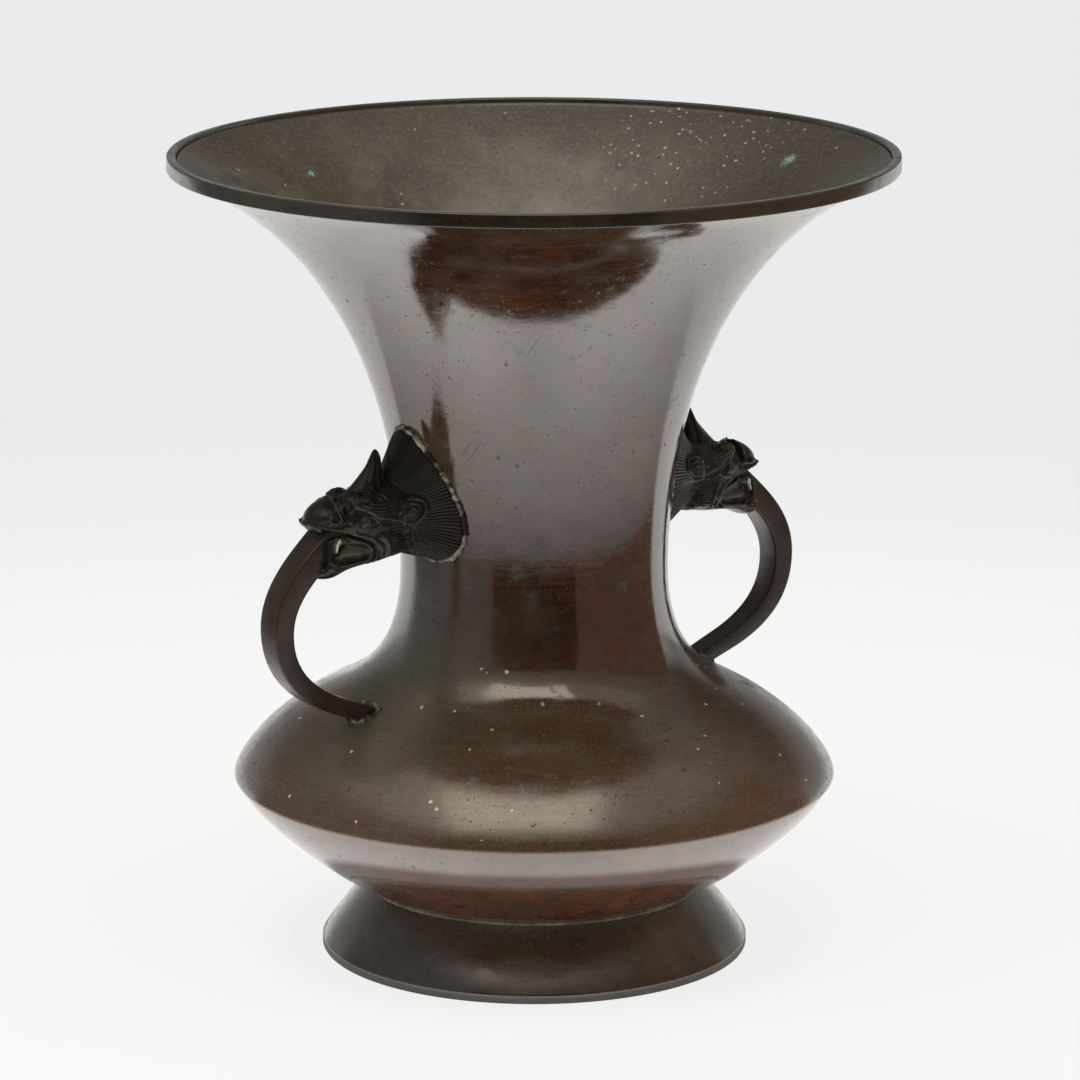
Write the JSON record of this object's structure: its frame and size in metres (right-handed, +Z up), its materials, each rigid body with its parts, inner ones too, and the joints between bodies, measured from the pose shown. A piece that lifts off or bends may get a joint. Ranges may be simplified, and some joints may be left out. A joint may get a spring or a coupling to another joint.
{
  "type": "bronze vase",
  "caption": "Bronze flower vase with a wide trumpet mouth, slender waist, keeled belly, splayed foot and horned beast-head loop handles.",
  "frame": {"origin": "centre of the foot's resting face", "axes": "+Z up along the vase's axis, X through both handles, +X out through the right handle, Y across them"},
  "size_m": [0.25, 0.25, 0.28],
  "materials": {
    "rim_bronze": "rubbed brown bronze patina, satin",
    "body_bronze": "waxed dark brown bronze patina, glossy",
    "foot_bronze": "dark olive-brown bronze patina, satin",
    "head_bronze": "near-black bronze patina, satin",
    "bar_bronze": "dark grey-brown bronze patina, satin",
    "solder": "dull grey solder, rough",
    "pin_bronze": "plain bronze, satin"
  },
  "bodies": {
    "root": {"rim_band": "rim_bronze", "upper_body": "body_bronze", "lower_bowl": "body_bronze", "foot_ring": "foot_bronze", "base_plate": "foot_bronze", "keel_solder_ring": "solder", "foot_solder_ring": "solder", "base_solder_ring": "solder", "right_beast_head": "head_bronze", "right_handle_bar": "bar_bronze", "right_collar_solder": "solder", "right_bar_solder": "solder", "right_head_pin": "pin_bronze", "right_bar_pin": "pin_bronze", "left_beast_head": "head_bronze", "left_handle_bar": "bar_bronze", "left_collar_solder": "solder", "left_bar_solder": "solder", "left_head_pin": "pin_bronze", "left_bar_pin": "pin_bronze"}
  },
  "joints": []
}
